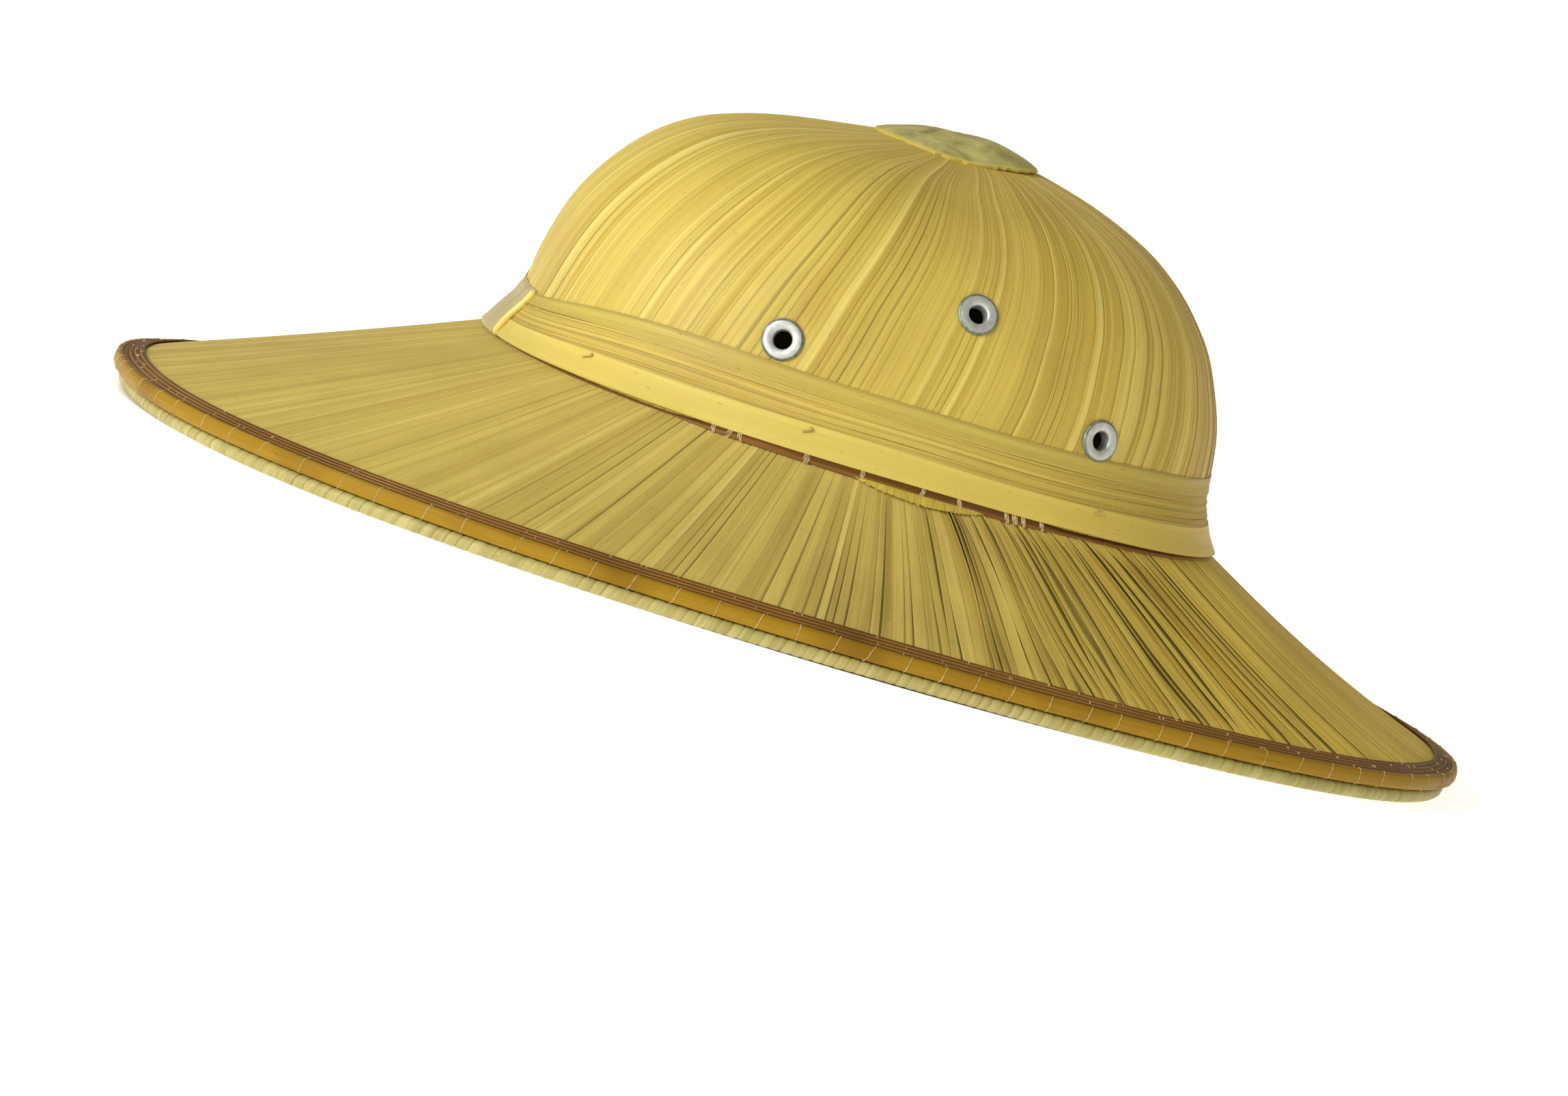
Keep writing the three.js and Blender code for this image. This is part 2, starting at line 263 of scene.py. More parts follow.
def select_points(piece, chosen=None):
    """Opens a piece in edit mode with the chosen points selected, or all of them."""
    pick(piece)
    bpy.ops.object.mode_set(mode="EDIT")
    bpy.ops.mesh.select_mode(type="VERT")
    bpy.ops.mesh.select_all(action="SELECT" if chosen is None else "DESELECT")
    if chosen is not None:
        bpy.ops.object.mode_set(mode="OBJECT")
        piece.data.vertices.foreach_set("select", chosen)
        bpy.ops.object.mode_set(mode="EDIT")


def read(items, key, width):
    """One property of a mesh's points or faces, in rows of width numbers."""
    values = np.empty(len(items) * width)
    items.foreach_get(key, values)
    return values.reshape(-1, width)


def flat_places(piece):
    """The strip that each point is on, and how far across and along it, while strips lie flat."""
    x, y, _ = read(piece.data.vertices, "co", 3).T
    number = np.floor(x / STRIDE + 1e-6).astype(int)
    return number, np.clip(x - STRIDE * number, 0, 1), np.clip(y, 0, 1)


def face_outwards(piece):
    """Turns a mesh inside out if most of it faces the middle of the hat."""
    piece.data.update()
    faces = piece.data.polygons
    outward = read(faces, "center", 3) - MIDDLE_OF_HAT * MM
    facing = (read(faces, "normal", 3) * outward).sum(axis=1)
    if (facing * read(faces, "area", 1)[:, 0]).sum() < 0:
        piece.data.flip_normals()


def lay(piece, where, loose=None):
    """Moves each point to where(number, across, along), in mm. Points that are loose(spots) go."""
    spots = where(*flat_places(piece))
    piece.data.vertices.foreach_set("co", (spots * MM).ravel())
    if loose is not None:
        select_points(piece, loose(spots))
        bpy.ops.mesh.delete(type="VERT")
        bpy.ops.object.mode_set(mode="OBJECT")
    face_outwards(piece)
    return piece


def weld(piece, distance_mm=0.02):
    """Joins points that lie together, and turns the faces one way."""
    select_points(piece)
    bpy.ops.mesh.remove_doubles(threshold=distance_mm * MM)
    bpy.ops.mesh.normals_make_consistent(inside=False)
    bpy.ops.object.mode_set(mode="OBJECT")
    face_outwards(piece)
    return piece


def thicken(piece, thickness_mm):
    """Gives a sheet its thickness, on the side away from its faces."""
    apply_modifier(piece, "SOLIDIFY", thickness=thickness_mm * MM, offset=-1)
    return piece


def finish(piece, material, replaces=(), crease=35):
    """Smooths the faces, gives the finish, and ties the piece to the frame."""
    pick(piece)
    bpy.ops.object.shade_smooth_by_angle(angle=math.radians(crease))
    piece.data.materials.clear()
    piece.data.materials.append(material)
    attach(piece, "root")
    if replaces:
        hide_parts(*replaces)
    faces = sum(len(face.vertices) - 2 for face in piece.data.polygons)
    print(piece.name, "triangles:", faces)


print("flat strips lie", STRIDE, "units apart")


# %% [markdown]
# ## Chance
# Chance is needed everywhere, because no two strips are cut alike, but the hat has to come out
# the same each time. So all of it comes from one seeded source. A slow wave round the hat is a
# sum of a few sines with whole numbers of turns, so that it closes on itself. Many things differ
# between the front, the sides and the back, and go from one to the other without a step.

# %% Chance that repeats
chance = np.random.default_rng(11)
CROWDED_EVERY = (9.3, 14.1)
NARROWEST, BROADEST = 0.4, 2.6


def slow_wave(turn, size, waves=(2, 3, 5, 8), seed=0):
    """A smooth wander round the hat, about size high."""
    phases = np.random.default_rng(seed).uniform(0, TAU, len(waves))
    total = sum(np.sin(wave * turn + phase) for wave, phase in zip(waves, phases))
    return size * total / math.sqrt(len(waves))


def ease(value, low, high):
    """From 0 below low to 1 above high, without a corner."""
    t = np.clip((value - low) / (high - low), 0, 1)
    return t * t * (3 - 2 * t)


def past(turn, low, high):
    """0 at the front and 1 at the back, eased between two turns from the front on either side."""
    turn = np.mod(turn, TAU)
    return ease(np.minimum(turn, TAU - turn), low, high)


def between(turn, low, in_full, still_full, high):
    """1 on either side between in_full and still_full, and eased to 0 at low and high."""
    return past(turn, low, in_full) * (1 - past(turn, still_full, high))


def uneven_turns(count, spread, broader):
    """Where each of count strips starts round the hat, and how much of a turn it takes.

    broader(turn) tells how much broader than usual the strips are there.
    """
    crowding = sum(np.sin(TAU * np.arange(count) / every) for every in CROWDED_EVERY)
    widths = chance.lognormal(0, spread, count) * np.exp(0.5 * spread * crowding)
    widths = np.clip(widths, NARROWEST, BROADEST)
    for _ in range(6):
        widths *= TAU / widths.sum()
        starts = np.concatenate([[0], np.cumsum(widths)[:-1]])
        shares = widths / broader(starts)
        widths = shares / shares.sum() * TAU * broader(starts)
    starts = np.concatenate([[0], np.cumsum(widths)[:-1]])
    return starts * TAU / widths.sum(), widths * TAU / widths.sum()


print("a slow wave at the front:", round(float(slow_wave(0.0, 1.0)), 3))


# %% [markdown]
# ## Finishes
# The colours are written as screen colours and turned to linear ones by one function. Another
# adds a node, and its inputs are given as values or as links from an earlier node. Thread, metal
# and the patch all have soft clouds of tone, so they share one recipe.

# %% Colours and nodes
def colour(code):
    """A screen colour as a linear one."""
    values = [int(code[i:i + 2], 16) / 255 for i in (0, 2, 4)]
    return [v / 12.92 if v <= 0.04045 else ((v + 0.055) / 1.055) ** 2.4 for v in values] + [1.0]


def set_inputs(node, inputs):
    """Sets inputs of a node. A (node, socket) pair is linked, and anything else is the value."""
    for key, given in inputs.items():
        if isinstance(given, tuple) and isinstance(given[0], bpy.types.Node):
            source, socket = given
            node.id_data.links.new(source.outputs[socket], node.inputs[key])
        else:
            node.inputs[key].default_value = given
    return node


def add_node(tree, kind, inputs=None, **settings):
    """A shader node with its settings and its inputs."""
    node = tree.nodes.new("ShaderNode" + kind)
    for key, value in settings.items():
        setattr(node, key, value)
    return set_inputs(node, inputs or {})


def set_stops(ramp, stops):
    """Gives a colour ramp its (place, colour) stops."""
    stops = list(stops)
    elements = ramp.color_ramp.elements
    while len(elements) < len(stops):
        elements.new(1.0)
    for element, (place, code) in zip(elements, stops):
        element.position = place
        element.color = colour(code)
    return ramp


def blank_material(name):
    """A material, its shader, and what adds nodes to it."""
    material = bpy.data.materials.new(name)
    material.use_nodes = True
    tree = material.node_tree
    return material, tree.nodes["Principled BSDF"], functools.partial(add_node, tree)


def clouded_material(name, clouds, tones, looks, relief=None):
    """Soft clouds of tone, by place on the hat. relief is the strength and the depth in mm of the
    same clouds as a bump. What comes back lets a finish add to them."""
    material, shader, add = blank_material(name)
    cloud = add("TexNoise", {"Vector": (add("TexCoord"), "Object"), **clouds})
    tone = set_stops(add("ValToRGB", {"Fac": (cloud, "Fac")}), tones)
    set_inputs(shader, {"Base Color": (tone, "Color"), **looks})
    if relief:
        strength, depth_mm = relief
        bump = add("Bump", {"Strength": strength, "Distance": depth_mm * MM, "Height": (cloud, "Fac")})
        set_inputs(shader, {"Normal": (bump, 0)})
    return material, shader, add, cloud, tone


print("a middle grey as a linear colour:", [round(v, 3) for v in colour("808080")])

# %% [markdown]
# ## Palm leaf
# Dried palm leaf is a pale straw yellow with a satin skin. Its veins run along the strip and show
# as fine lines and faint ridges. Strips from different leaves differ in tone, each strip has
# bands about a millimetre wide, and age leaves warm blotches and small dark specks. Painting
# some hundreds of strips by hand would be slow, so all of it is worked out from the texture
# coordinates, which count the strips, and from the place on the hat.

# %% Leaf finish
VEIN_MM = 0.5
VEIN_LENGTH_MM = 26
SPECK = "5A4520"
LEAF_IOR = 1.45


def leaf_material(name, tones, length_mm, width_mm, band_mm=0.9, vein_depth_mm=0.02, blotch="A98C4C",
                  blotch_share=0.3, roughness=(0.42, 0.6), contrast=0.5, line=0.1, vein=0.05, lap=1.0,
                  edge=0.0, calm_front=1.0, specular=0.5, painted_light_at_back=(1, 1, 1)):
    """Dried palm leaf: strips of several tones, with fine bands and veins along each.

    U counts strips. lap is how far across a strip the next one covers it, and edge is how strong the
    painted shade in the crevice there is, and the painted highlight on each lifted edge. At the hat's
    front only calm_front of the painted shade shows.
    Towards the hat's back the tone is multiplied by the last argument, painted light where it is
    above 1 and painted shade where it is below.
    """
    material, shader, add = blank_material(name)
    axes = add("SeparateXYZ", {"Vector": (add("UVMap", uv_map="UVMap"), "UV")})
    strip = add("Math", {0: (axes, "X")}, operation="FLOOR")
    dice = add("TexWhiteNoise", {"W": (strip, 0)}, noise_dimensions="1D")

    # Veins are about a quarter of a millimetre apart. They are drawn twice as coarse, to show at all.
    vein_x = add("Math", {0: (axes, "X"), 1: width_mm / VEIN_MM}, operation="MULTIPLY")
    vein_y = add("Math", {0: (axes, "Y"), 1: length_mm / VEIN_LENGTH_MM}, operation="MULTIPLY")
    vein_at = add("CombineXYZ", {"X": (vein_x, 0), "Y": (vein_y, 0)})
    veins = add("TexNoise", {"Vector": (vein_at, 0), "Scale": 1.0, "Detail": 2.0, "Roughness": 0.6},
                noise_dimensions="2D")

    # Bands of tone with crisp edges, uneven in width, which drift a little along the strip.
    drift_at = add("VectorMath", {0: (vein_at, 0), 1: (0.12, 0.5, 1)}, operation="MULTIPLY")
    drift = add("TexNoise", {"Vector": (drift_at, 0), "Scale": 1.0, "Detail": 1.0}, noise_dimensions="2D")
    band_x = add("Math", {0: (axes, "X"), 1: width_mm / band_mm}, operation="MULTIPLY")
    band_at = add("Math", {0: (band_x, 0), 1: (drift, "Fac")}, operation="ADD")
    bands, edges = (
        add("TexVoronoi", {"W": (band_at, 0), "Scale": 1.0}, voronoi_dimensions="1D", feature=feature)
        for feature in ("F1", "DISTANCE_TO_EDGE"))
    band_tone = add("SeparateColor", {"Color": (bands, "Color")})
    seam = add("MapRange", {"Value": (edges, "Distance"), "From Max": 0.12, "To Min": 1 - line})
    mixed = add("Mix", {"Factor": contrast, "A": (dice, "Value"), "B": (band_tone, 0)}, data_type="FLOAT")
    stops = [(0.1 + 0.8 * i / (len(tones) - 1), tone) for i, tone in enumerate(tones)]
    ramp = set_stops(add("ValToRGB", {"Fac": (mixed, 0)}), stops)

    # Warm blotches of age, by where they are on the hat.
    spot = add("TexCoord")
    blots = add("TexNoise", {"Vector": (spot, "Object"), "Scale": 24.0, "Detail": 3.0})
    blot_amount = add("MapRange", {"Value": (blots, "Fac"), "From Min": 0.48, "From Max": 0.7,
                                   "To Max": blotch_share})
    aged = add("Mix", {"Factor": (blot_amount, 0), "A": (ramp, "Color"), "B": colour(blotch)},
               data_type="RGBA")

    # Each vein is a little lighter or darker than its strip, and smoother or rougher.
    vein_tone, rough = (
        add("MapRange", {"Value": (veins, "Fac"), "From Min": 0.3, "From Max": 0.7, "To Min": low,
                         "To Max": high})
        for low, high in ((1 - vein, 1 + vein), (roughness[1], roughness[0])))

    # Painted shade in the crevice beside the next strip, darker on some strips than on others.
    across = add("Math", {0: (axes, "X")}, operation="FRACT")
    second_number = add("Math", {0: (strip, 0), 1: 0.5}, operation="ADD")
    second_dice = add("TexWhiteNoise", {"W": (second_number, 0)}, noise_dimensions="1D")
    on_hat = add("SeparateXYZ", {"Vector": (spot, "Object")})
    darkest = add("MapRange", {"Value": (on_hat, "Y"), "From Min": -0.12, "From Max": -0.05,
                               "To Min": 1 - edge * calm_front, "To Max": 1 - edge})
    deepest = add("MapRange", {"Value": (second_dice, "Value"), "From Min": 0.1, "From Max": 0.8,
                               "To Min": 1.0, "To Max": (darkest, 0)})
    painted_crevice_shade = add("MapRange", {"Value": (across, 0), "From Min": lap - 0.19, "From Max": lap - 0.09,
                               "To Min": 1.0, "To Max": (deepest, 0)})
    # A painted highlight along each strip's lifted left edge, as strong as edge says.
    painted_edge_highlight = add("MapRange", {"Value": (across, 0), "From Max": 0.1, "To Min": 1 + 0.12 * edge})
    shade = vein_tone
    for factor in (seam, painted_crevice_shade, painted_edge_highlight):
        shade = add("Math", {0: (shade, 0), 1: (factor, 0)}, operation="MULTIPLY")
    shaded = add("VectorMath", {0: (aged, "Result"), "Scale": (shade, 0)}, operation="SCALE")

    # Painted light and shade towards the hat's back, by the last argument.
    backwards = add("MapRange", {"Value": (on_hat, "Y"), "From Max": 0.1})
    painted_back_light = add("Mix", {"Factor": (backwards, 0), "A": (1, 1, 1, 1), "B": (*painted_light_at_back, 1)}, data_type="RGBA")
    with_painted_back_light = add("VectorMath", {0: (shaded, 0), 1: (painted_back_light, "Result")}, operation="MULTIPLY")

    # Small dark specks, drawn out along the leaf.
    speck_at = add("VectorMath", {0: (vein_at, 0), 1: (1.6, 10.0, 1)}, operation="MULTIPLY")
    specks = add("TexNoise", {"Vector": (speck_at, 0), "Scale": 1.0, "Detail": 0.0}, noise_dimensions="2D")
    speck_amount = add("MapRange", {"Value": (specks, "Fac"), "From Min": 0.87, "From Max": 0.9,
                                    "To Max": 0.45})
    specked = add("Mix", {"Factor": (speck_amount, 0), "A": (with_painted_back_light, 0), "B": colour(SPECK)},
                  data_type="RGBA")

    height = add("Math", {0: (veins, "Fac"), 1: (seam, 0)}, operation="ADD")
    bump = add("Bump", {"Height": (height, 0), "Strength": 1.0, "Distance": vein_depth_mm * MM})
    set_inputs(shader, {"Base Color": (specked, "Result"), "Roughness": (rough, 0), "Normal": (bump, 0),
                        "IOR": LEAF_IOR, "Specular IOR Level": specular})
    return material


# The brim's back is painted lighter and the crown's back painted darker: painted light and painted shade.
CROWN_LEAF = leaf_material("crown palm leaf", ["BCA245", "C5AE4E", "CBB454", "D1BB5B", "DECC70"], 120, 2.6,
                           lap=0.74, edge=0.4, specular=0.4, painted_light_at_back=(0.94, 0.89, 0.76))
BRIM_LEAF = leaf_material("brim palm leaf", ["C0A95A", "C7B15E", "CDB862", "D3BE67", "DAC671"], 80, 2.8,
                          blotch="A8904E", line=0.06, lap=0.77, edge=0.7, calm_front=0.25,
                          specular=0.05, painted_light_at_back=(1.2, 1.16, 0.86))
INNER_LEAF = leaf_material("inner palm leaf", ["A08A48", "AD9752", "B8A35C"], 120, 3)
print("leaf finishes made")

# %% [markdown]
# ## Crown form and eyelet seats
# Under the leaf is a stiff form, which also shows inside the crown and at the eyelets' holes. It
# is a plain dome, so its strips are welded into one sheet before the sheet gets its wall.
# The eyelets' places come from the frame: each seat is the point of the crown nearest to the
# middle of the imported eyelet. One boolean with all six drills cuts the holes.

# %% Crown form
WALL = 2.0
EYELET_NODES = sorted(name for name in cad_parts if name.startswith("eyelet_"))
DRILL = {"radius": 3.4, "length": 12}
FORM_STRIPS = 160
FORM_BELOW = 0.05


def nearest_on_crown(spot):
    """Turn and share of the crown's point nearest to a spot, on finer and finer grids."""
    turn = math.atan2(spot[0], MIDDLE_OF_HAT[1] - spot[1])
    share = float(crown_share(spot[2]))
    grid = np.linspace(-1, 1, 21)
    for span in (0.15, 0.02, 0.003):
        turns, shares = np.meshgrid(turn + span * grid, share + span * grid)
        gaps = np.linalg.norm(crown_point(turns, shares) - spot, axis=-1)
        best = np.unravel_index(gaps.argmin(), gaps.shape)
        turn, share = turns[best], shares[best]
    return turn, share


seats = []
for node_name in EYELET_NODES:
    lowest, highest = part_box(node_name)
    turn, share = nearest_on_crown((np.array(lowest) + np.array(highest)) / 2 / MM)
    spot = crown_point(turn, share)
    facing = Vector(lay_on(crown_point, turn, share, 1) - spot).to_track_quat("Z", "Y")
    seats.append({"name": node_name, "spot": spot, "facing": facing})


def from_seats(spots):
    """How far spots are from the nearest eyelet's middle."""
    return np.min([np.linalg.norm(spots - seat["spot"], axis=-1) for seat in seats], axis=0)


def drill_eyelets(piece):
    """Cuts all the holes at once, with six drills joined to one."""
    drills = []
    for seat in seats:
        bpy.ops.mesh.primitive_cylinder_add(
            vertices=32, radius=DRILL["radius"] * MM, depth=DRILL["length"] * MM,
            location=seat["spot"] * MM, rotation=seat["facing"].to_euler())
        drills.append(bpy.context.object)
    for drill in drills:
        drill.select_set(True)
    bpy.ops.object.join()
    cutter = bpy.context.object
    apply_modifier(piece, "BOOLEAN", operation="DIFFERENCE", solver="EXACT", object=cutter)
    bpy.data.objects.remove(cutter)


def on_form(number, across, along):
    return lay_on(crown_point, TAU * (number + across) / FORM_STRIPS, along, -FORM_BELOW)


crown_form = lay(strips("crown_form", FORM_STRIPS, 1, 48), on_form)
weld(crown_form, 0.06)
thicken(crown_form, WALL - 2 * FORM_BELOW)
drill_eyelets(crown_form)
finish(crown_form, INNER_LEAF, ["crown_shell"])

# %% [markdown]
# ## Crown leaves
# Over two hundred narrow strips cover the form. They start under the patch on the peak and run down
# to the band, and all lean the same way, so they swirl. Each overlaps the next like a shingle:
# its left edge is lifted a fraction of a millimetre and its right edge is tucked away. The
# strips taper with the crown, so the steps fade out towards the peak.
# Where an eyelet goes through, the strips are pressed flat, and cut away under its flange. The
# faces there are cut finer first, so that the flange covers the ragged edge.

# %% Crown leaves
CROWN_STRIPS = 220
LAP = 0.35
SWIRL = math.radians(14)
SWELL_BEHIND = 1.7
LEAF_FOOT = crown_share(42.6)
LEAF_TOP = crown_share(127.4)
PRESSED = 0.2
OFF_FORM = 0.05
BY_EYELETS = {"cut_away": 4.3, "flat": 5, "free": 9, "cut_finer": 8}


def crown_broader(turn):
    """The strips of the crown are broader towards its back."""
    return 1 + 1.1 * past(turn, 1.7, 2.3)


crown_starts, crown_widths = uneven_turns(CROWN_STRIPS, 0.48, crown_broader)
crown_lifts = np.clip(chance.lognormal(math.log(0.22), 0.45, CROWN_STRIPS), 0.06, 0.5)
crown_phases = chance.uniform(0, TAU, CROWN_STRIPS)
slants = math.tan(SWIRL) * ease(PROFILE[:, 1], 45, 94) / np.maximum(PROFILE[:, 1], 16)
swirled = np.cumsum(slants) * PROFILE_LENGTH / len(PROFILE)


def swirl(share):
    """How much further round the hat a strip is at a share than at its foot."""
    return np.interp(share * PROFILE_LENGTH, PROFILE_AT, swirled)


def swell_behind(turn, share):
    """The leaf stands off the form a little behind the peak, where it is thickest."""
    spots = crown_point(turn, share)
    return SWELL_BEHIND * ease(spots[..., 1], 2, 36) * ease(spots[..., 2], 100, 120)


def on_crown_leaf(number, across, along):
    share = LEAF_FOOT + (LEAF_TOP - LEAF_FOOT) * along
    turn = crown_starts[number] + crown_widths[number] * across * (1 + LAP) + swirl(share)
    turn = turn + slow_wave(crown_starts[number] + 1.5 * share, 0.008, seed=3)
    height, half, _ = crown_row(share)
    lift = crown_lifts[number] * (0.75 + 0.25 * np.sin(crown_phases[number] + 6 * share))
    lift = lift * np.minimum(half / 95, 1) * (1 - 0.5 * past(turn, 1.9, 2.4))
    lift = np.minimum(lift, PRESSED + ease(height, 62, 70))
    out = OFF_FORM + lift * (1 - across) ** 1.8
    spots = lay_on(crown_point, turn, share, out)
    free = ease(from_seats(spots), BY_EYELETS["flat"], BY_EYELETS["free"])
    out = OFF_FORM + (out - OFF_FORM) * free + swell_behind(turn, share)
    return lay_on(crown_point, turn, share, out)


crown_leaves = strips("crown_leaves", CROWN_STRIPS, 3, 40)
for _ in range(2):
    near = from_seats(on_crown_leaf(*flat_places(crown_leaves))) < BY_EYELETS["cut_finer"]
    select_points(crown_leaves, near)
    bpy.ops.mesh.subdivide(number_cuts=1)
    bpy.ops.object.mode_set(mode="OBJECT")
lay(crown_leaves, on_crown_leaf, lambda spots: from_seats(spots) < BY_EYELETS["cut_away"])
thicken(crown_leaves, 0.15)
finish(crown_leaves, CROWN_LEAF)

# %% [markdown]
# ## Brim
# The brim has a form like the crown's, and its strips run from the crown to the rim. At the
# front they lie flat. Towards the side they stand out one by one, and behind the ear they are
# crowded on edge, with dark gaps between them, and bend backwards as they leave the crown.
# At the back they lie down again.

# %% Brim form and leaves
BRIM_STRIPS = 296
SWEEP = 0.15
MOST_LIFT = 1.7


def brim_broader(turn):
    """The strips of the brim are broad at the front and the back, and narrow beside the ear."""
    front, beside_ear = 1 - past(turn, 0.35, 0.7), between(turn, 0.75, 1.0, 1.8, 2.2)
    return 1 + 0.8 * front - 0.22 * beside_ear + 2.4 * past(turn, 2.15, 2.6)


brim_starts, brim_widths = uneven_turns(BRIM_STRIPS, 0.22, brim_broader)
brim_lifts = chance.lognormal(0, 0.4, BRIM_STRIPS)
brim_phases = chance.uniform(0, TAU, BRIM_STRIPS)


def on_brim_form(number, across, along):
    return lay_on(brim_point, TAU * (number + across) / BRIM_STRIPS, 0.004 + 0.992 * along, -0.1)


brim_form = lay(strips("brim_form", BRIM_STRIPS, 1, 20), on_brim_form)
weld(brim_form)
thicken(brim_form, WALL - 0.15)
finish(brim_form, INNER_LEAF, ["brim"])


def on_brim_leaf(number, across, along):
    start = brim_starts[number]
    share = 0.006 + 0.975 * along
    crowd = between(start, 1.45, 1.9, 2.2, 2.6)
    plain = 1 - between(start, 0.3, 0.8, 2.3, 2.6)
    lift = brim_lifts[number] * (0.05 * plain + 0.46 * (1 - plain) + 0.5 * crowd)
    lift = np.minimum(lift * (0.8 + 0.2 * np.sin(brim_phases[number] + 5 * share)), MOST_LIFT)
    heave = crowd * 0.32 * (1 + np.sin(TAU * number / 5.3 + brim_phases[number] * 0.5 + 2 * share))
    held = 0.35 + 0.65 * ease(share, 0.0, 0.12) * (1 - ease(share, 0.86, 0.99))
    out = 0.02 + (lift * (1 - across) ** 1.8 + heave) * held
    backwards = np.sign(np.sin(start)) * SWEEP * past(start, 1.2, 2.0) * (1 - past(start, 2.2, 3.1))
    turn = start + brim_widths[number] * across * (1.3 + 0.3 * crowd)
    turn = turn - backwards * (1 - share) ** 2
    turn = turn + 0.012 * crowd * np.sin(5 * share + brim_phases[number] * 0.3)
    return lay_on(brim_point, turn, share, out)


brim_leaves = lay(strips("brim_leaves", BRIM_STRIPS, 3, 26), on_brim_leaf)
thicken(brim_leaves, 0.08)
finish(brim_leaves, BRIM_LEAF)

# %% [markdown]
# ## Hat band
# The band is a stack of leaf strips folded lengthwise. The lowest is one bright, smooth strip.
# Above it the folds are narrow, and each stands a little over the one above. They rise and
# fall slowly as they go round, and at the front the wrap draws them together.

# %% Band
# The band's back is painted darker: painted shade.
PLEAT_LEAF = leaf_material("pleated palm leaf", ["C0A950", "C7B056", "CCB55B", "D2BC62"], 580, 2.4,
                           contrast=0.35, lap=0.89, edge=0.35, specular=0.3, painted_light_at_back=(0.85, 0.82, 0.7))
TOP_LEAF = leaf_material("green palm leaf", ["B4A04A", "BBA74F", "C2AF55"], 580, 3.4, lap=0.97, edge=0.2,
                         specular=0.3)
BRIGHT_LEAF = leaf_material("bright palm leaf", ["D0BA58", "D5C05E", "DAC666"], 580, 5.6, band_mm=3.0,
                            vein_depth_mm=0.006, line=0.02, vein=0.02, blotch_share=0.1,
                            roughness=(0.36, 0.46), painted_light_at_back=(0.97, 0.92, 0.76))
BAND_ROWS = 280
FOLD_WIDTHS = np.array([1.7, 0.7, 0.5, 1.5, 0.6, 1.1, 0.5, 1.2, 0.6])
FOLD_EDGES = 0.31 + 0.47 * np.concatenate([[0], np.cumsum(FOLD_WIDTHS)]) / FOLD_WIDTHS.sum()


def band_foot(turn):
    return 43.9 - 0.6 * np.cos(2 * turn)


def band_top(turn):
    drawn = np.exp(-(np.sin(turn / 2) * 2 / 0.42) ** 2)
    return 63.8 - 6.6 * drawn + slow_wave(turn, 0.3, seed=5)


def covered(turn):
    """1 where the band comes down over the cane in the corner, 0 where the cane shows."""
    return 1 - between(turn, 0.8, 1.05, 1.88, 2.05)


def band_ribbon(name, edges, proud, lip, thickness=0.35, over=0.0):
    """Folds of the band between edges, shares of its height. Each leans out at its lower edge."""
    edges = np.array(edges)

    def on_ribbon(number, across, along):
        turn = TAU * along
        wide = edges[number + 1] - edges[number]
        share = edges[number] + wide * across * 1.12
        wave = slow_wave(turn, 0.012, (3, 4, 7), seed=40 + len(name))
        wave = wave + 0.006 * np.sin(5 * turn + 2.1 * number)
        share = share + wave * np.sin(math.pi * np.clip(share, 0, 1))
        height = band_foot(turn) + (band_top(turn) - band_foot(turn)) * share
        shown = np.where(wide > 0.055, 1.0, 0.15 + 0.85 * past(turn, 0.4, 1.2))
        out = proud + lip * shown * (1 - across) ** 1.5 - 0.12 * number
        out = out + over * covered(turn) * (1 - across) ** 2
        return lay_on(crown_point, turn, crown_share(height), out)

    piece = lay(strips(name, len(edges) - 1, 6, BAND_ROWS), on_ribbon)
    return thicken(weld(piece), thickness)


bright = band_ribbon("band_bright_strip", [0.0, 0.33], 1.15, 0.1, thickness=0.5, over=0.8)
finish(bright, BRIGHT_LEAF, ["band_lower_strip"])
for index in range(3):
    edges = FOLD_EDGES[3 * index:3 * index + 4]
    ribbon = band_ribbon(f"band_folds_{index + 1}", edges, 0.9 - 0.12 * index, 0.22)
    finish(ribbon, PLEAT_LEAF, [f"band_pleat_{index + 1}"])
upper = band_ribbon("band_top_strip", [0.78, 1.0], 0.45, 0.4)
finish(upper, TOP_LEAF, ["band_upper_strip"])

# %% [markdown]
# ## Rim
# From the ground up the edge has a welt wound with leaf, an amber bamboo hoop outside, and four
# split canes on the brim. Each is a tube round the rim, whose section is bent to its own form.

# %% Rim
CANE = leaf_material("split brown cane", ["60401A", "724C20", "865C28", "9E7436"], 1090, 2.4, band_mm=0.5,
                     blotch="4A3218", contrast=0.9, vein=0.12, specular=0.2)
BAMBOO = leaf_material("amber bamboo skin", ["8A6A18", "96741C", "A27E22"], 1090, 8, vein_depth_mm=0.004,
                       band_mm=2.5, line=0.05, blotch="6E4E14", blotch_share=0.75, roughness=(0.42, 0.5),
                       specular=0.1)
WOUND = leaf_material("wound pale leaf", ["A09554", "A99F5C", "B1A864", "B9B070"], 12, 3.6, lap=1.1,
                      edge=0.8)
HOOP = {"depth": 2.2, "bottom": 4.05, "top": 8.35}
WELT = {"width": 4.3, "height": 3.95, "inset": 0.3, "tucked": 2.2, "windings": 325}
CANES = {"count": 4, "width": 1.42, "height": 0.85, "pitch": 1.45, "first": -0.35, "off_brim": 0.25}
RIM_ROWS = 420


def on_rim(turn, out, up):
    x, y = oval(RIM, turn, out)
    return np.stack([x, y, up + 0 * x], axis=-1)


def rounded(value, power):
    return np.sign(value) * np.abs(value) ** power


def hoop_section(angle, beyond=0.0):
    """How far out and up the hoop's skin is at an angle round its section, or beyond mm off it."""
    middle, half = (HOOP["top"] + HOOP["bottom"]) / 2, (HOOP["top"] - HOOP["bottom"]) / 2
    out = HOOP["depth"] / 2 * (rounded(np.cos(angle), 0.8) - 1) + beyond * np.cos(angle)
    return out, middle + (half + beyond) * rounded(np.sin(angle), 0.8)


def on_hoop(number, across, along):
    return on_rim(TAU * along, *hoop_section(TAU * across))


